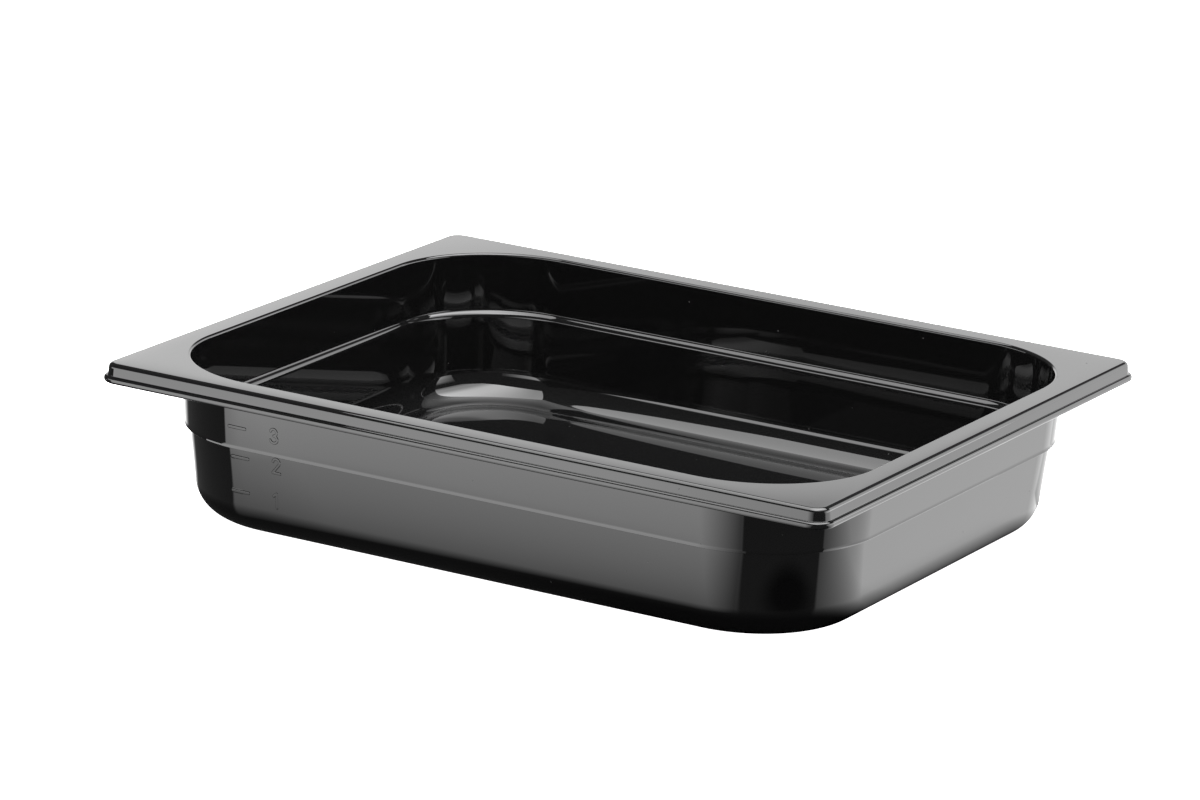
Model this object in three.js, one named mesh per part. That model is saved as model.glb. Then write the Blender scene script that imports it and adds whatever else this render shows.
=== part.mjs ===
// Half-size gastronorm food pan, 1/2 GN, shallow (65 mm / 2 1/2 in) depth class.
// One injection-moulded polycarbonate piece: a flat flanged rim with a turned-down
// skirt and rolled lip, large-radius corners, drafted walls with a stacking
// shoulder, a filleted flat floor and a shallow recess under the base.
//
// Millimetres, +Z up. X runs along the long side, Y along the short side.
// Origin: bottom centre of the pan, on the plane its base ring stands on.
import * as THREE from 'three';

// ---- driving dimensions -------------------------------------------------
const LENGTH = 325;          // outside of the rim lip, long side (1/2 GN)
const WIDTH = 265;           // outside of the rim lip, short side (1/2 GN)
const HEIGHT = 64;           // base ring to rim top

const LIP_T = 2.8;           // height of the rolled lip round the skirt's foot
const LIP_R = 1.2;           // edge rounding of the lip
const LIP_CORNER = 8;        // plan radius of the lip's corners
const SKIRT_DROP = 5.0;      // rim top to the top of the lip
const SKIRT_TOP_IN = 2.0;    // skirt face behind the lip's outside, at its top
const SKIRT_FOOT_IN = 1.5;   // the same at its foot: the skirt flares outwards
const SKIRT_WALL = 2.2;      // skirt thickness
const RIM_EDGE_R = 2.0;      // rounding between rim top and skirt
const RIM_T = 2.6;           // rim flange thickness

const WALL_IN = 10.0;        // outside of the wall behind the lip's outside, at rim level
const OUTER_CORNER = 49.9;   // plan radius of the wall corners, outside, at rim level
const MOUTH_CORNER = 48.9;   // plan radius of the mouth's corners; the wall thickens a little in them
const WALL_T = 3.0;          // wall thickness
const DRAFT = 4.1;           // wall draft, degrees
const MOUTH_R = 1.2;         // rounding of the mouth edge
const UNDER_RIM_R = 1.5;     // fillet between the wall and the rim's underside

const SHOULDER_DROP = 27.5;  // rim top to the outside stacking shoulder
const SHOULDER_IN = 1.9;     // how far the wall steps in at the shoulder
const LEDGE_DROP = 24.3;     // rim top to the upper edge of the inside ledge
const LEDGE_H = 1.45;        // height of the inside ledge's slope
const LEDGE_IN = 1.7;        // how far the wall steps in at the ledge
const LEDGE_TOP_R = 1.7;     // hollow fillet above the ledge's slope
const LEDGE_EDGE_R = 3.1;    // rounding of the ledge's edge

const FLOOR_T = 2.5;         // floor thickness at the base ring
const BASE_R = 14.3;         // fillet between wall and base, outside
const BASE_ROUND = 3.0;      // extra plan radius of the corners at the base
const FLOOR_R = 14.0;        // fillet between wall and floor, inside
const RING_W = 9;            // width of the flat ring the pan stands on
const RECESS = 0.6;          // depth of the recess inside that ring

// ---- outline helpers ----------------------------------------------------
const TAN = Math.tan(THREE.MathUtils.degToRad(DRAFT));
const outerIn = (z) => WALL_IN + (HEIGHT - z) * TAN + (z < HEIGHT - SHOULDER_DROP ? SHOULDER_IN : 0);
const innerIn = (z) => WALL_IN + WALL_T + (HEIGHT - z) * TAN + (z < HEIGHT - LEDGE_DROP - LEDGE_H / 2 ? LEDGE_IN : 0);

// Profile corners: d = distance in from the lip's outside, z = height,
// f = fillet radius there, n = segments in the fillet, r = plan corner radius.
const wallR = (d) => OUTER_CORNER - (d - WALL_IN);
const mouthR = (d) => MOUTH_CORNER - (d - WALL_IN - WALL_T);
const zs = HEIGHT - SHOULDER_DROP;
const zl = HEIGHT - LEDGE_DROP;
const lipTop = HEIGHT - SKIRT_DROP;
const lipFoot = lipTop - LIP_T;
const ringIn = outerIn(0) + BASE_R * Math.tan(THREE.MathUtils.degToRad((90 - DRAFT) / 2));
const rimIn = SKIRT_TOP_IN + SKIRT_WALL;

const outlineR = (d) => Math.max(LIP_CORNER - d, 1.5);
const profile = [
  // under the base, outwards
  { d: ringIn + RING_W + 1.2, z: RECESS, f: 0, n: 0, r: wallR(ringIn + RING_W + 1.2) + BASE_ROUND },
  { d: ringIn + RING_W, z: 0, f: 0, n: 0, r: wallR(ringIn + RING_W) + BASE_ROUND },
  // outside wall, upwards
  { d: outerIn(0), z: 0, f: BASE_R, n: 6, r: wallR(outerIn(0)) + BASE_ROUND },
  { d: outerIn(zs - 0.01), z: zs, f: 0.6, n: 1, r: wallR(outerIn(zs - 0.01)) },
  { d: outerIn(zs + 0.01), z: zs, f: 0.5, n: 1, r: wallR(outerIn(zs + 0.01)) },
  { d: outerIn(HEIGHT - RIM_T), z: HEIGHT - RIM_T, f: UNDER_RIM_R, n: 2, r: wallR(outerIn(HEIGHT - RIM_T)) },
  // rim underside, skirt inside, lip
  { d: rimIn, z: HEIGHT - RIM_T, f: 0.8, n: 1, r: outlineR(rimIn) },
  { d: SKIRT_FOOT_IN + SKIRT_WALL, z: lipFoot, f: 0.5, n: 1, r: outlineR(SKIRT_FOOT_IN + SKIRT_WALL) },
  { d: 0, z: lipFoot, f: LIP_R, n: 3, r: LIP_CORNER },
  { d: 0, z: lipTop, f: LIP_R, n: 3, r: LIP_CORNER },
  { d: SKIRT_FOOT_IN, z: lipTop, f: 0.25, n: 1, r: outlineR(SKIRT_FOOT_IN) },
  // skirt outside, rim edge, rim top, mouth
  { d: SKIRT_TOP_IN, z: HEIGHT, f: RIM_EDGE_R, n: 4, r: outlineR(SKIRT_TOP_IN) },
  { d: innerIn(HEIGHT), z: HEIGHT, f: MOUTH_R, n: 3, r: mouthR(innerIn(HEIGHT)) },
  // inside wall, downwards
  { d: innerIn(zl), z: zl, f: LEDGE_TOP_R, n: 2, r: mouthR(innerIn(zl)) },
  { d: innerIn(zl - LEDGE_H), z: zl - LEDGE_H, f: LEDGE_EDGE_R, n: 2, r: mouthR(innerIn(zl - LEDGE_H)) },
  { d: innerIn(FLOOR_T), z: FLOOR_T, f: FLOOR_R, n: 6, r: mouthR(innerIn(FLOOR_T)) },
  { d: ringIn + RING_W, z: FLOOR_T, f: 0, n: 0, r: mouthR(ringIn + RING_W) },
];

// Replace each filleted corner by points on its arc. The plan radius follows
// the distance in, between the values the profile gives either side.
function fillet(corners) {
  const out = [];
  corners.forEach((c, i) => {
    if (!c.f || i === 0 || i === corners.length - 1) { out.push({ d: c.d, z: c.z, r: c.r }); return; }
    const a = corners[i - 1], b = corners[i + 1];
    const P = new THREE.Vector2(c.d, c.z);
    const u = new THREE.Vector2(a.d, a.z).sub(P), v = new THREE.Vector2(b.d, b.z).sub(P);
    const lu = u.length(), lv = v.length();
    u.normalize(); v.normalize();
    const half = Math.acos(THREE.MathUtils.clamp(u.dot(v), -1, 1)) / 2;
    const t = Math.min(c.f / Math.tan(half), lu * 0.98, lv * 0.98);
    const f = t * Math.tan(half);
    const centre = u.clone().add(v).normalize().multiplyScalar(f / Math.sin(half)).add(P);
    const A = u.clone().multiplyScalar(t).add(P), B = v.clone().multiplyScalar(t).add(P);
    let a0 = Math.atan2(A.y - centre.y, A.x - centre.x);
    let a1 = Math.atan2(B.y - centre.y, B.x - centre.x);
    while (a1 - a0 > Math.PI) a1 -= 2 * Math.PI;
    while (a1 - a0 < -Math.PI) a1 += 2 * Math.PI;
    for (let k = 0; k <= c.n; k++) {
      const s = a0 + (a1 - a0) * k / c.n;
      const d = centre.x + f * Math.cos(s), z = centre.y + f * Math.sin(s);
      out.push({ d, z, r: Math.max(c.r + (c.d - d), 1.5) });
    }
  });
  return out;
}

// One rounded rectangle, counter-clockwise from above, SEG steps per corner.
const SEG = 10;
function ring({ d, z, r }) {
  const a = LENGTH / 2 - d - r, b = WIDTH / 2 - d - r;
  const pts = [];
  [[a, b, 0], [-a, b, 1], [-a, -b, 2], [a, -b, 3]].forEach(([cx, cy, q]) => {
    for (let k = 0; k <= SEG; k++) {
      const t = (q + k / SEG) * Math.PI / 2;
      pts.push([cx + r * Math.cos(t), cy + r * Math.sin(t), z]);
    }
  });
  return pts;
}

function panGeometry() {
  const rings = fillet(profile).map(ring);
  const n = rings[0].length;
  const pos = [];
  rings.forEach((loop) => loop.forEach((p) => pos.push(...p)));
  const index = [];
  for (let i = 0; i < rings.length - 1; i++) {
    for (let k = 0; k < n; k++) {
      const a = i * n + k, b = i * n + (k + 1) % n, c = a + n, e = b + n;
      index.push(a, b, e, a, e, c);
    }
  }
  // flat panels under the base and on the floor
  const cap = (base, z, up) => {
    const centre = pos.length / 3;
    pos.push(0, 0, z);
    for (let k = 0; k < n; k++) {
      const a = base + k, b = base + (k + 1) % n;
      if (up) index.push(a, b, centre); else index.push(b, a, centre);
    }
  };
  cap(0, RECESS, false);
  cap((rings.length - 1) * n, FLOOR_T, true);
  const g = new THREE.BufferGeometry();
  g.setAttribute('position', new THREE.Float32BufferAttribute(pos, 3));
  g.setIndex(index);
  g.computeVertexNormals();
  return g;
}

const blackPolycarbonate = new THREE.MeshStandardMaterial({
  name: 'black_polycarbonate', color: 0x151515, roughness: 0.12, metalness: 0,
});

const pan = new THREE.Mesh(panGeometry(), blackPolycarbonate);
pan.name = 'pan_body';

const group = new THREE.Group();
group.name = 'food_pan';
group.add(pan);

export default group;
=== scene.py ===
import math
import bpy
import numpy as np
from mathutils import Matrix, Vector


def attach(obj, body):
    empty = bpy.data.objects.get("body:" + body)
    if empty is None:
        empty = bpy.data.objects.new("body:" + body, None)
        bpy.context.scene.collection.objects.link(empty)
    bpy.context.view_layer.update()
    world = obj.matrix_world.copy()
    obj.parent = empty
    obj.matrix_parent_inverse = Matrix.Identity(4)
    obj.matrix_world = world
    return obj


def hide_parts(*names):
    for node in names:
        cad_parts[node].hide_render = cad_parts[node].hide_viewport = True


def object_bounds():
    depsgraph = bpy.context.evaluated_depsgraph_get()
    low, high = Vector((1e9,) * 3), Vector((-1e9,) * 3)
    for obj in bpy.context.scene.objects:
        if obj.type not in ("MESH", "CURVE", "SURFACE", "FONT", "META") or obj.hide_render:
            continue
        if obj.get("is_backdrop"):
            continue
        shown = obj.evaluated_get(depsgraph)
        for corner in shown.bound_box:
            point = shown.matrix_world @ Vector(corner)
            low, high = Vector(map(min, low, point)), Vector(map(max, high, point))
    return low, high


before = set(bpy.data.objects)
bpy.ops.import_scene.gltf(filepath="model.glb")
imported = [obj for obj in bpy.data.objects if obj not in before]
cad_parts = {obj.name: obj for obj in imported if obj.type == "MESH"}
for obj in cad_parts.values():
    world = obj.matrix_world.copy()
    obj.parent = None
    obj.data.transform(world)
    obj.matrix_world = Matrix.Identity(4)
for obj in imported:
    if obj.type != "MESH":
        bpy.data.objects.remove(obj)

cad_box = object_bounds()
MM = 0.001

# =====================================================================
# Driving dimensions of the moulding, millimetres (the CAD's own frame)
# =====================================================================
LENGTH, WIDTH, HEIGHT = 325.0, 265.0, 64.0
LIP_T, LIP_R, LIP_CORNER = 2.8, 1.2, 8.0
SKIRT_DROP, SKIRT_TOP_IN, SKIRT_FOOT_IN, SKIRT_WALL = 5.0, 2.0, 1.5, 2.2
RIM_EDGE_R, RIM_T, RIM_CROWN = 2.0, 2.6, 0.10
WALL_IN, WALL_T, DRAFT = 10.0, 3.0, 4.1
OUTER_CORNER, MOUTH_CORNER = 49.9, 48.9
MOUTH_R, UNDER_RIM_R = 1.2, 1.5
SHOULDER_DROP, SHOULDER_IN = 27.5, 1.9
LEDGE_DROP, LEDGE_H, LEDGE_IN = 24.3, 1.45, 1.7
FLOOR_T, BASE_R, FLOOR_R, BASE_ROUND = 2.5, 14.3, 14.0, 3.0
RING_W, RECESS = 9.0, 0.6

TAN = math.tan(math.radians(DRAFT))


def outer_in(z):
    return WALL_IN + (HEIGHT - z) * TAN + (SHOULDER_IN if z < HEIGHT - SHOULDER_DROP else 0)


def inner_in(z):
    return WALL_IN + WALL_T + (HEIGHT - z) * TAN + (LEDGE_IN if z < HEIGHT - LEDGE_DROP - LEDGE_H / 2 else 0)


def wall_r(d):
    return OUTER_CORNER - (d - WALL_IN)


def mouth_r(d):
    return MOUTH_CORNER - (d - WALL_IN - WALL_T)


def outline_r(d):
    return max(LIP_CORNER - d, 1.5)


ZS = HEIGHT - SHOULDER_DROP
ZL = HEIGHT - LEDGE_DROP
LIP_TOP = HEIGHT - SKIRT_DROP
LIP_FOOT = LIP_TOP - LIP_T
RING_IN = outer_in(0) + BASE_R * math.tan(math.radians((90 - DRAFT) / 2))
RIM_IN = SKIRT_TOP_IN + SKIRT_WALL

# corners of the section: d in from the lip's outside, z up, fillet radius,
# segments in the fillet, plan radius of the corners at that point
SECTION = [
    (RING_IN + RING_W + 3.0, RECESS, 0.0, 0, wall_r(RING_IN + RING_W + 3.0) + BASE_ROUND),
    (RING_IN + RING_W + 1.2, RECESS, 0.8, 5, wall_r(RING_IN + RING_W + 1.2) + BASE_ROUND),
    (RING_IN + RING_W, 0.0, 0.5, 4, wall_r(RING_IN + RING_W) + BASE_ROUND),
    (outer_in(0), 0.0, BASE_R, 26, wall_r(outer_in(0)) + BASE_ROUND),
    (outer_in(ZS - 0.01), ZS, 0.6, 6, wall_r(outer_in(ZS - 0.01))),
    (outer_in(ZS + 1.0) - 0.29, ZS + 0.12, 0.13, 8, wall_r(outer_in(ZS + 1.0) - 0.29)),
    (outer_in(ZS + 1.0), ZS + 1.0, 3.6, 16, wall_r(outer_in(ZS + 1.0))),
    (outer_in(HEIGHT - RIM_T), HEIGHT - RIM_T, UNDER_RIM_R, 10, wall_r(outer_in(HEIGHT - RIM_T))),
    (RIM_IN, HEIGHT - RIM_T, 0.8, 8, outline_r(RIM_IN)),
    (SKIRT_FOOT_IN + SKIRT_WALL, LIP_FOOT, 0.5, 6, outline_r(SKIRT_FOOT_IN + SKIRT_WALL)),
    (0.0, LIP_FOOT, LIP_R, 10, LIP_CORNER),
    (0.0, LIP_TOP, LIP_R, 10, LIP_CORNER),
    (SKIRT_FOOT_IN, LIP_TOP, 0.3, 5, outline_r(SKIRT_FOOT_IN)),
    (SKIRT_TOP_IN, HEIGHT - RIM_CROWN, RIM_EDGE_R, 14, outline_r(SKIRT_TOP_IN)),
    "crown",
    (inner_in(HEIGHT), HEIGHT, MOUTH_R, 12, mouth_r(inner_in(HEIGHT))),
    (inner_in(ZL), ZL, 1.7, 12, mouth_r(inner_in(ZL))),
    (inner_in(ZL - LEDGE_H), ZL - LEDGE_H, 3.1, 16, mouth_r(inner_in(ZL - LEDGE_H))),
    (inner_in(FLOOR_T), FLOOR_T, FLOOR_R, 26, mouth_r(inner_in(FLOOR_T))),
    (RING_IN + RING_W, FLOOR_T, 0.0, 0, mouth_r(RING_IN + RING_W)),
]


def section_points():
    """Section stations as (d, z, plan radius, outward normal in the (outwards, up) plane)."""
    corners = []
    for c in SECTION:
        if c == "crown":
            # the rim top is very slightly domed, falling away towards its outer edge
            d0, d1 = 4.4, inner_in(HEIGHT) - 2.6
            for k in range(7):
                d = d0 + (d1 - d0) * k / 6
                t = (d1 - d) / (d1 - SKIRT_TOP_IN)
                r = outline_r(2.0) + (mouth_r(d1) - outline_r(2.0)) * (d - 2.0) / (d1 - 2.0)
                corners.append((d, HEIGHT - RIM_CROWN * t * t, 0.0, 0, r, True))
        else:
            corners.append(tuple(c) + (False,))
    pts = []
    n = len(corners)
    for i, (d, z, f, seg, r, smooth) in enumerate(corners):
        P = np.array([d, z])
        if i in (0, n - 1):
            pts.append([d, z, r, None])
            continue
        a, b = np.array(corners[i - 1][:2]), np.array(corners[i + 1][:2])
        u, v = a - P, b - P
        lu, lv = np.linalg.norm(u), np.linalg.norm(v)
        u, v = u / lu, v / lv
        if f <= 0:
            pts.append([d, z, r, None])
            continue
        half = math.acos(max(-1, min(1, float(u @ v)))) / 2
        t = min(f / math.tan(half), lu * 0.98, lv * 0.98)
        f = t * math.tan(half)
        w = u + v
        centre = P + w / np.linalg.norm(w) * f / math.sin(half)
        A, B = P + u * t, P + v * t
        a0 = math.atan2(A[1] - centre[1], A[0] - centre[0])
        a1 = math.atan2(B[1] - centre[1], B[0] - centre[0])
        while a1 - a0 > math.pi:
            a1 -= 2 * math.pi
        while a1 - a0 < -math.pi:
            a1 += 2 * math.pi
        for k in range(seg + 1):
            s = a0 + (a1 - a0) * k / seg
            dd, zz = centre[0] + f * math.cos(s), centre[1] + f * math.sin(s)
            # outward normal: away from the centre on a convex corner, towards it on a hollow one
            nd, nz = math.cos(s), math.sin(s)
            pts.append([dd, zz, max(r + (d - dd), 1.5), (nd, nz)])
    # travel is bottom centre -> outwards -> up -> over the rim -> down inside:
    # the outside of the material is to the right of travel in the (outwards, up) plane
    P2 = np.array([[p[0], p[1]] for p in pts])
    out = []
    for i, p in enumerate(pts):
        a = P2[max(i - 1, 0)]
        b = P2[min(i + 1, len(pts) - 1)]
        tx, tz = -(b[0] - a[0]), b[1] - a[1]          # outwards is -d
        m = math.hypot(tx, tz) or 1.0
        nx, nz = tz / m, -tx / m                      # right of travel
        if p[3] is not None:
            ax, az = -p[3][0], p[3][1]                # d is measured inwards
            if ax * nx + az * nz < 0:
                ax, az = -ax, -az
            nx, nz = ax, az
        out.append((p[0], p[1], p[2], nx, nz))
    return out


def pan_mesh():
    seg = 40
    stations = section_points()
    verts, normals, faces = [], [], []
    for (d, z, r, nx, nz) in stations:
        a, b = LENGTH / 2 - d - r, WIDTH / 2 - d - r
        for cx, cy, q in ((a, b, 0), (-a, b, 1), (-a, -b, 2), (a, -b, 3)):
            for k in range(seg + 1):
                t = (q + k / seg) * math.pi / 2
                c, s = math.cos(t), math.sin(t)
                verts.append(((cx + r * c) * MM, (cy + r * s) * MM, z * MM))
                normals.append((nx * c, nx * s, nz))
    n = 4 * (seg + 1)
    for i in range(len(stations) - 1):
        for k in range(n):
            a, b = i * n + k, i * n + (k + 1) % n
            faces.append((a, b, b + n, a + n))
    last = (len(stations) - 1) * n
    faces.append(tuple(reversed(range(n))))
    faces.append(tuple(range(last, last + n)))
    mesh = bpy.data.meshes.new("pan_moulding")
    mesh.from_pydata(verts, [], faces)
    mesh.update()
    return mesh, np.array(normals)


mesh, vnormals = pan_mesh()
pan = bpy.data.objects.new("pan_moulding", mesh)
bpy.context.scene.collection.objects.link(pan)
for p in mesh.polygons:
    p.use_smooth = True
loops = np.zeros(len(mesh.loops), np.int64)
mesh.loops.foreach_get("vertex_index", loops)
ln = vnormals[loops]
# the two flat panels keep their own flat normals
for p in mesh.polygons[-2:]:
    for li in p.loop_indices:
        ln[li] = p.normal
mesh.normals_split_custom_set([tuple(v) for v in ln])

# =====================================================================
# Material
# =====================================================================
def polycarbonate():
    m = bpy.data.materials.new("black_polycarbonate")
    m.use_nodes = True
    nt = m.node_tree
    N, L = nt.nodes, nt.links
    bsdf = N["Principled BSDF"]
    bsdf.inputs["IOR"].default_value = 1.585
    bsdf.inputs["Metallic"].default_value = 0
    co = N.new("ShaderNodeTexCoord")

    def noise(scale, detail=4.0, rough=0.5, stretch=None, turn=None):
        n = N.new("ShaderNodeTexNoise")
        n.inputs["Scale"].default_value = scale
        n.inputs["Detail"].default_value = detail
        n.inputs["Roughness"].default_value = rough
        src = co.outputs["Object"]
        if stretch:
            mp = N.new("ShaderNodeMapping")
            mp.inputs["Scale"].default_value = stretch
            mp.inputs["Rotation"].default_value = turn
            L.new(src, mp.inputs["Vector"])
            src = mp.outputs["Vector"]
        L.new(src, n.inputs["Vector"])
        return n.outputs["Fac"]

    def ramp(value, a, b, lo, hi):
        mr = N.new("ShaderNodeMapRange")
        mr.inputs["From Min"].default_value = a
        mr.inputs["From Max"].default_value = b
        mr.inputs["To Min"].default_value = lo
        mr.inputs["To Max"].default_value = hi
        L.new(value, mr.inputs["Value"])
        return mr.outputs["Result"]

    def math2(kind, a, b):
        n = N.new("ShaderNodeMath")
        n.operation = kind
        for i, v in enumerate((a, b)):
            if isinstance(v, float):
                n.inputs[i].default_value = v
            else:
                L.new(v, n.inputs[i])
        return n.outputs[0]

    # polished tooling: slow changes of gloss over the mouldings
    gloss = ramp(noise(24.0, 5.0), 0.32, 0.70, 0.010, 0.030)
    # fine wiping scuffs: long thin streaks in two directions, only in patches
    patch = ramp(noise(13.0, 3.0), 0.50, 0.72, 0.0, 1.0)
    s1 = ramp(noise(260.0, 2.0, 0.5, (1.0, 0.035, 0.5), (0.0, 0.0, 0.45)), 0.66, 0.74, 0.0, 0.03)
    s2 = ramp(noise(330.0, 2.0, 0.5, (0.03, 1.0, 0.6), (0.2, 0.0, 0.25)), 0.68, 0.76, 0.0, 0.025)
    scuffs = math2("MULTIPLY", math2("ADD", s1, s2), patch)
    # dust: sparse specks, paler and matt
    cell = N.new("ShaderNodeTexVoronoi")
    cell.inputs["Scale"].default_value = 210.0
    L.new(co.outputs["Object"], cell.inputs["Vector"])
    speck = ramp(cell.outputs["Distance"], 0.055, 0.095, 1.0, 0.0)
    pick = N.new("ShaderNodeSeparateColor")
    L.new(cell.outputs["Color"], pick.inputs["Color"])
    chosen = ramp(pick.outputs["Red"], 0.93, 0.94, 0.0, 1.0)
    dust = math2("MULTIPLY", speck, chosen)
    rough = math2("ADD", math2("ADD", gloss, scuffs), math2("MULTIPLY", dust, 0.45))
    L.new(rough, bsdf.inputs["Roughness"])
    mix = N.new("ShaderNodeMix")
    mix.data_type = "RGBA"
    L.new(dust, mix.inputs["Factor"])
    ci = [i for i in mix.inputs if i.type == "RGBA"]
    ci[0].default_value = (0.0045, 0.0045, 0.0046, 1)
    ci[1].default_value = (0.014, 0.014, 0.014, 1)
    L.new([o for o in mix.outputs if o.type == "RGBA"][0], bsdf.inputs["Base Color"])
    # the slow sink and swell of a moulded wall, and a trace of tool texture
    slow = N.new("ShaderNodeBump")
    slow.inputs["Strength"].default_value = 1.0
    slow.inputs["Distance"].default_value = 0.00006
    L.new(noise(16.0, 1.0), slow.inputs["Height"])
    fine = N.new("ShaderNodeBump")
    fine.inputs["Strength"].default_value = 1.0
    fine.inputs["Distance"].default_value = 0.0000002
    L.new(noise(420.0, 3.0), fine.inputs["Height"])
    L.new(slow.outputs["Normal"], fine.inputs["Normal"])
    L.new(fine.outputs["Normal"], bsdf.inputs["Normal"])
    return m


plastic = polycarbonate()
mesh.materials.append(plastic)
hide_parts("pan_body")
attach(pan, "root")

# =====================================================================
# Level marks: three short bars and their numbers, raised from the long wall
# =====================================================================
MARK_H, MARK_SINK, MARK_BACK = 0.24, 0.05, 0.40
STEP = 0.10


def on_wall(s, z, h):
    """Point h out from the long (-Y) outer wall; s runs along it and on round the corner."""
    d = outer_in(z)
    r = wall_r(d)
    ax, ay = -(LENGTH / 2 - WALL_IN - OUTER_CORNER), -(WIDTH / 2 - WALL_IN - OUTER_CORNER)
    if s >= ax:
        x, y, nx, ny = s, ay - r, 0.0, -1.0
    else:
        t = (ax - s) / r
        nx, ny = -math.sin(t), -math.cos(t)
        x, y = ax + r * nx, ay + r * ny
    return ((x + nx * h) * MM, (y + ny * h) * MM, (z - h * TAN) * MM)


def arc(cx, cy, rx, ry, a0, a1, n=20):
    return [(cx + rx * math.cos(math.radians(a0 + (a1 - a0) * k / n)),
             cy + ry * math.sin(math.radians(a0 + (a1 - a0) * k / n))) for k in range(n + 1)]


# strokes about each number's own middle, millimetres
NUMBERS = {
    "3": [arc(-0.05, 1.45, 1.4, 1.40, 165, -90) + arc(0.0, -1.40, 1.65, 1.45, 90, -165)],
    "2": [arc(0.0, 1.40, 1.5, 1.50, 170, -25) + [(-1.65, -2.9), (1.75, -2.9)]],
    "1": [[(-1.1, 1.7), (0.35, 2.9), (0.35, -2.9)]],
}
MARKS = [
    # (what, middle along the wall, middle height)
    ("bar", -103.4, 45.6), ("bar", -103.4, 32.7), ("bar", -103.4, 18.6),
    ("3", -86.2, 45.2), ("2", -86.5, 32.3), ("1", -86.8, 17.9),
]


def mark_mesh(bm_verts, bm_faces, strokes, s0, z0, half_w, box):
    """A closed low relief: height from the distance to the strokes, on a fine grid."""
    nx, nz = int(box[0] * 2 / STEP), int(box[1] * 2 / STEP)
    gx = np.linspace(-box[0], box[0], nx + 1)
    gz = np.linspace(-box[1], box[1], nz + 1)
    U, V = np.meshgrid(gx, gz, indexing="ij")
    D = np.full(U.shape, 1e9)
    for line in strokes:
        for (x0, y0), (x1, y1) in zip(line[:-1], line[1:]):
            vx, vy = x1 - x0, y1 - y0
            q = vx * vx + vy * vy
            t = np.clip(((U - x0) * vx + (V - y0) * vy) / q, 0, 1) if q else 0 * U
            D = np.minimum(D, np.hypot(U - x0 - t * vx, V - y0 - t * vy))
    k = np.clip((half_w + 0.16 - D) / 0.30, 0, 1)
    Hh = k * k * (3 - 2 * k) * (MARK_H + MARK_SINK) - MARK_SINK
    keep = (D < half_w + 0.40)
    cells = keep[:-1, :-1] & keep[1:, :-1] & keep[1:, 1:] & keep[:-1, 1:]
    used = np.zeros(U.shape, bool)
    for di in (0, 1):
        for dj in (0, 1):
            used[di:di + cells.shape[0], dj:dj + cells.shape[1]] |= cells
    top, back = {}, {}
    for i, j in zip(*np.nonzero(used)):
        top[i, j] = len(bm_verts)
        bm_verts.append(on_wall(s0 + U[i, j], z0 + V[i, j], float(Hh[i, j])))
        back[i, j] = len(bm_verts)
        bm_verts.append(on_wall(s0 + U[i, j], z0 + V[i, j], -MARK_BACK))
    for i, j in zip(*np.nonzero(cells)):
        a, b, c, d = (i, j), (i + 1, j), (i + 1, j + 1), (i, j + 1)
        bm_faces.append((top[a], top[b], top[c], top[d]))
        bm_faces.append((back[d], back[c], back[b], back[a]))
        for e0, e1, ni, nj in ((a, b, i, j - 1), (b, c, i + 1, j), (c, d, i, j + 1), (d, a, i - 1, j)):
            inside = 0 <= ni < cells.shape[0] and 0 <= nj < cells.shape[1] and cells[ni, nj]
            if not inside:
                bm_faces.append((top[e1], top[e0], back[e0], back[e1]))


mv, mfc = [], []
for what, s0, z0 in MARKS:
    if what == "bar":
        L2 = 3.75
        mark_mesh(mv, mfc, [[(-L2, 0.0), (L2, 0.0)]], s0, z0, 0.62, (L2 + 1.4, 1.4))
    else:
        mark_mesh(mv, mfc, NUMBERS[what], s0, z0, 0.50, (3.2, 4.2))
marks = bpy.data.meshes.new("level_marks")
marks.from_pydata(mv, [], mfc)
marks.update()
for pg in marks.polygons:
    pg.use_smooth = True
marks.materials.append(plastic)
marks_ob = bpy.data.objects.new("level_marks", marks)
scene0 = bpy.context.scene
scene0.collection.objects.link(marks_ob)
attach(marks_ob, "root")

# =====================================================================
# Stage: pale floor, soft studio light
# =====================================================================
scene = bpy.context.scene


def polygon(name, corners):
    me = bpy.data.meshes.new(name)
    me.from_pydata([tuple(c) for c in corners], [], [tuple(range(len(corners)))])
    ob = bpy.data.objects.new(name, me)
    scene.collection.objects.link(ob)
    ob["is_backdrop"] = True
    return ob


plane = polygon


class X:
    """A number inside a node tree, so that a pattern can be written as arithmetic."""
    def __init__(self, nt, sock):
        self.nt, self.s = nt, sock

    def op(self, kind, *rest, clamp=False):
        n = self.nt.nodes.new("ShaderNodeMath")
        n.operation = kind
        n.use_clamp = clamp
        for i, v in enumerate((self,) + rest):
            if isinstance(v, X):
                self.nt.links.new(v.s, n.inputs[i])
            else:
                n.inputs[i].default_value = v
        return X(self.nt, n.outputs[0])

    def __add__(self, o): return self.op("ADD", o)
    __radd__ = __add__
    def __sub__(self, o): return self.op("SUBTRACT", o)
    def __rsub__(self, o): return (self * -1.0) + o
    def __mul__(self, o): return self.op("MULTIPLY", o)
    __rmul__ = __mul__
    def __truediv__(self, o): return self.op("DIVIDE", o)
    def max(self, o): return self.op("MAXIMUM", o)
    def min(self, o): return self.op("MINIMUM", o)
    def abs(self): return self.op("ABSOLUTE")
    def sqrt(self): return self.op("SQRT")
    def exp(self): return self.op("EXPONENT")
    def clamp(self): return self.op("ADD", 0.0, clamp=True)

    def step(self, lo, hi):
        """0 below lo, 1 above hi, smooth between."""
        n = self.nt.nodes.new("ShaderNodeMapRange")
        n.interpolation_type = "SMOOTHSTEP"
        self.nt.links.new(self.s, n.inputs["Value"])
        n.inputs["From Min"].default_value = lo
        n.inputs["From Max"].default_value = hi
        return X(self.nt, n.outputs[0])


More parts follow.
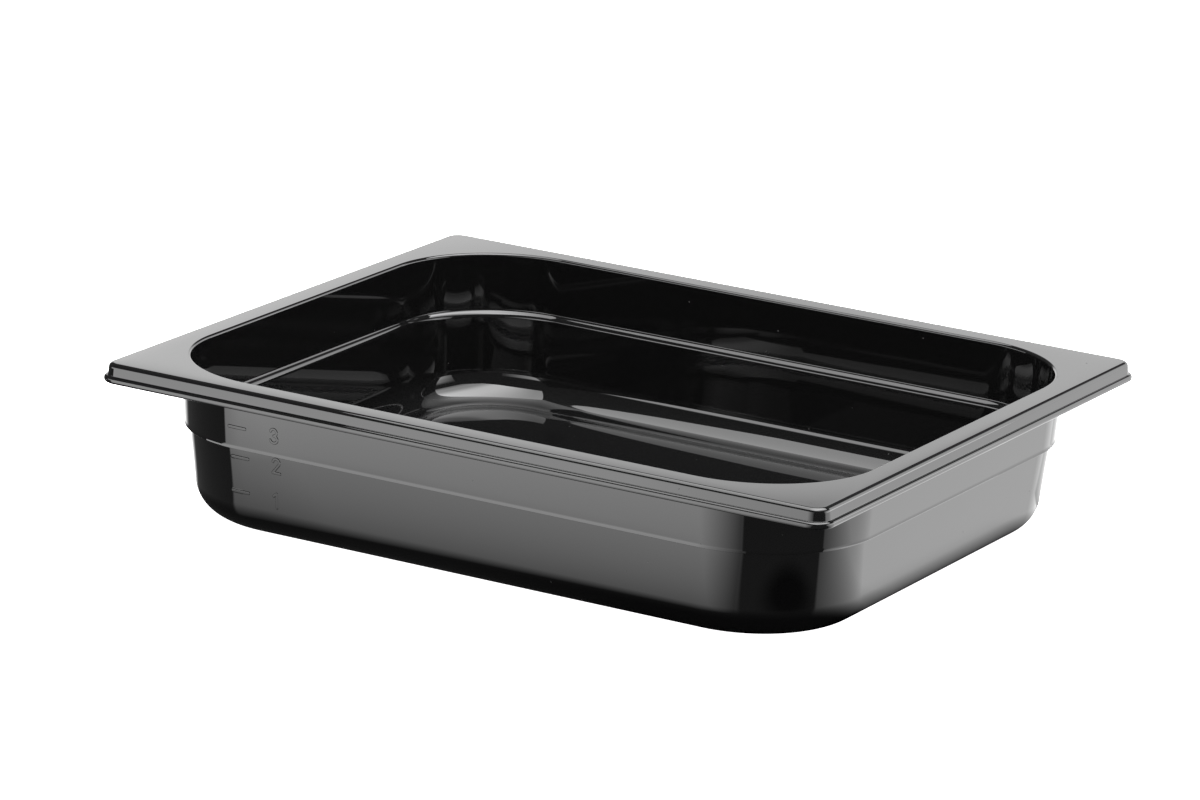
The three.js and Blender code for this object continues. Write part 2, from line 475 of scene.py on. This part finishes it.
def light_surface(ob, pattern):
    """Gives a stage surface an emission whose strength is pattern(x, y, z) in metres, seen only in reflections."""
    m = bpy.data.materials.new(ob.name)
    m.use_nodes = True
    nt = m.node_tree
    nt.nodes.clear()
    out = nt.nodes.new("ShaderNodeOutputMaterial")
    em = nt.nodes.new("ShaderNodeEmission")
    em.inputs["Color"].default_value = (1, 1, 1, 1)
    tc = nt.nodes.new("ShaderNodeTexCoord")
    sep = nt.nodes.new("ShaderNodeSeparateXYZ")
    nt.links.new(tc.outputs["Object"], sep.inputs[0])
    v = pattern(*(X(nt, sep.outputs[i]) for i in range(3)))
    if isinstance(v, X):
        nt.links.new(v.s, em.inputs["Strength"])
    else:
        em.inputs["Strength"].default_value = v
    nt.links.new(em.outputs[0], out.inputs[0])
    ob.data.materials.append(m)
    ob.visible_camera = False
    ob.visible_diffuse = False
    ob.visible_shadow = False


ROOM = 0.10          # what little light the dark parts of the studio send back

# the floor that is seen
S = 8.0
floor = plane("floor", [(-S, -S, -0.0002), (S, -S, -0.0002), (S, S, -0.0002), (-S, S, -0.0002)])
mf = bpy.data.materials.new("floor_white")
mf.use_nodes = True
b = mf.node_tree.nodes["Principled BSDF"]
b.inputs["Base Color"].default_value = (0.8, 0.8, 0.8, 1)
b.inputs["Roughness"].default_value = 0.9
b.inputs["Emission Color"].default_value = (1, 1, 1, 1)
b.inputs["Emission Strength"].default_value = 1.3
floor.data.materials.append(mf)
floor.visible_glossy = False
floor.visible_diffuse = False

# world: even, soft
w = bpy.data.worlds.new("studio")
scene.world = w
w.use_nodes = True
bg = w.node_tree.nodes["Background"]
bg.inputs["Color"].default_value = (1, 1, 1, 1)
bg.inputs["Strength"].default_value = 0.60
w.cycles_visibility.glossy = False


# painted reflection of a lit table top, seen only by the gloss: two white sheets, one before the long
# side and one beside and behind, each with painted shade close under the pan, dark between
def table_pattern(x, y, z):
    # distance out from the foot of the walls
    hx, hy, r = 0.1459, 0.1159, 0.045
    qx, qy = x.abs() - (hx - r), y.abs() - (hy - r)
    qx0, qy0 = qx.max(0.0), qy.max(0.0)
    dist = (qx0 * qx0 + qy0 * qy0).sqrt() - r
    # painted shadow: each sheet falls dark close to the foot of the walls, where the pan shades the table
    out = (dist - 0.0075 - x.max(-0.11).min(0.11) * 0.045).max(0.0)
    fall_a = ((1.0 - (out * (-1 / 0.018)).exp()) + (1.0 - (out * (-1 / 0.130)).exp()) * 4.0).min(4.1)
    fall_b = 1.0 - ((dist - 0.009).max(0.0) * (-1 / 0.014)).exp()
    fall_r = (dist - (-0.05 - y).max(0.0) * 0.30).step(-0.009, 0.022)
    # before the long side: ends at the left corner, and fades out round the front corner
    edge = ((x + 0.147) * 0.78 - 0.152).max((x + 0.146) * 0.93 - 0.147)
    az = (x - 0.116).op("ARCTAN2", (y + 0.119) * -1.0)
    fade = ((0.262 - az) / 0.803).clamp()
    cut = (0.129 - (y + 0.150) * 0.288 - x).step(-0.002, 0.003)
    front = (edge - y).step(-0.002, 0.003) * cut * (-0.110 - y).step(0.0, 0.004)
    # beside the short side, ramping up away from the front corner
    side = (x - 0.152 - y * 0.05 + (0.130 - y).max(0.0) * 1.2).step(-0.004, 0.004) * x.step(0.10, 0.101)
    rightb = (y + 0.093).step(-0.002, 0.002) * (0.18 + 0.82 * ((y + 0.097) / 0.070).clamp()) * side.clamp()
    # behind and to the left, dimmer, gone beside the left corner
    beta = ((x + 0.14) * -1.0).op("ARCTAN2", y + 0.09)
    backb = (1.0 - beta.step(0.93, 1.26)) * (y + 0.09).step(0.0, 0.004) * (1.0 - side.clamp())
    # painted shadow: a soft dark patch on the floor before the front corner
    bx, by = x - 0.172, y + 0.124
    shadow_patch = 1.0 - (bx * bx + by * by).sqrt().step(0.012, 0.038)
    # painted shade close under the pan: the fill fades out near the foot, and the front sheet is dimmed in a band
    # about 8 to 86 mm out
    near = (dist.step(0.002, 0.030) + (1.0 - x.step(-0.04, 0.10)) * 0.25).clamp()
    fill = (front * dist.step(0.002, 0.030) * 0.16 + 0.11) * near * (1.0 - shadow_patch)
    mid = dist.step(0.008, 0.028) * (1.0 - dist.step(0.070, 0.086)) * (0.12 - x * 0.40)
    left = 0.64 + ((edge - y) / 0.06).clamp() * 0.36
    return front * left * (fade * 0.90 + 0.10) * fall_a * (1.0 - mid) * 0.97 + rightb * fall_r * 2.3 + backb * fall_b * 1.55 + fill


# painted reflection of the lit table, with painted shadow under the pan; it glows only for the gloss
T = 6.0
light_surface(plane("painted_table_reflection", [(-T, -T, -0.0005), (T, -T, -0.0005), (T, T, -0.0005), (-T, T, -0.0005)]), table_pattern)

# low card before the long side
def card_front_pattern(x, y, z):
    az = (x - 0.116).op("ARCTAN2", 0.88)
    return (((0.262 - az) / 0.803).clamp() * 0.90 + 0.10) * (1.0 - x.step(0.40, 0.44)) * (1.0 - z.step(0.42, 0.50)) * 4.1 + ROOM


light_surface(plane("card_front", [(-2.9, -1.0, 0), (0.45, -1.0, 0), (0.45, -1.0, 0.52), (-2.9, -1.0, 0.52)]), card_front_pattern)
# backdrop, brighter and taller to the right, its lit top edge dipping at the middle
def backdrop_pattern(x, y, z):
    k, k2 = x.step(-1.25, -1.02), x.step(-0.5, 1.2)
    lo = 0.90 - k * 0.03 + k2 * 0.45
    hi = 1.45 - k * 0.43 + k2 * 0.85
    t = ((z - lo) / (hi - lo)).clamp()
    level = 1.22 + (-1.3 - x).max(0.0).min(0.8) * 0.85 + k * 0.20 + x.step(-0.2, 1.2) * 1.3
    return level * (1.0 - t * t * (3.0 - t * 2.0)) * (x + 3.4).step(0.0, 0.3) + ROOM


light_surface(plane("backdrop", [(-3.4, 2.5, 0), (3.6, 2.5, 0), (3.6, 2.5, 2.2), (-3.4, 2.5, 2.2)]), backdrop_pattern)
# side wall, right
light_surface(plane("card_right", [(1.6, -0.1, 0), (1.6, 2.5, 0), (1.6, 2.5, 1.4), (1.6, -0.1, 1.4)]),
              lambda x, y, z: (0.28 + 0.72 * ((y + 0.1) / 0.6).clamp()) * (2.7 + 2.0 * (1.0 - z.step(0.45, 0.75))) * (1.0 - z.step(0.75, 1.2)) + ROOM)
# big overhead softbox, brightest over the middle
def softbox_pattern(x, y, z):
    return (4.0 + 4.6 * x.step(-0.75, 0.30) * (1.0 - x.step(0.45, 0.95))) * (1.0 - 0.5 * x.step(1.05, 1.42))


softbox = polygon("softbox_top", [(-0.91, -0.92, 1.5), (0.45, -0.90, 1.5), (0.95, -0.75, 1.5), (1.42, -0.20, 1.5), (1.42, 1.05, 1.5), (-0.91, 1.05, 1.5)])
light_surface(softbox, softbox_pattern)
softbox.visible_diffuse = True
# the rest of the room
bpy.ops.mesh.primitive_uv_sphere_add(segments=24, ring_count=12, radius=7.5)
room = bpy.context.object
room.name = "room"
room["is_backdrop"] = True
light_surface(room, lambda x, y, z: ROOM)

# =====================================================================
# Camera
# =====================================================================
CAM = (1.17705, -2.06679, 0.72786)
YAW, PITCH, ROLL, F_PX = 29.8836, 15.9625, 2.3829, 6224.5
y, p, r = (math.radians(v) for v in (YAW, PITCH, ROLL))
fwd = Vector((-math.sin(y) * math.cos(p), math.cos(y) * math.cos(p), -math.sin(p)))
right = Vector((math.cos(y), math.sin(y), 0))
up = right.cross(fwd)
r2 = right * math.cos(r) + up * math.sin(r)
u2 = -right * math.sin(r) + up * math.cos(r)
cam = bpy.data.cameras.new("camera")
camo = bpy.data.objects.new("camera", cam)
scene.collection.objects.link(camo)
M = Matrix((r2, u2, -fwd)).transposed().to_4x4()
M.translation = Vector(CAM)
camo.matrix_world = M
cam.sensor_fit = "HORIZONTAL"
cam.sensor_width = 36.0
cam.lens = F_PX * 36.0 / 1200.0
cam.clip_end = 50
scene.camera = camo

scene.view_settings.view_transform = "Standard"
scene.view_settings.look = "None"
scene.view_settings.exposure = 0
scene.view_settings.gamma = 1


def as_list(b):
    try:
        return [[float(v) for v in b[0]], [float(v) for v in b[1]]]
    except TypeError:
        return [float(v) for v in b]


{"cad": as_list(cad_box), "visual": as_list(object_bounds())}
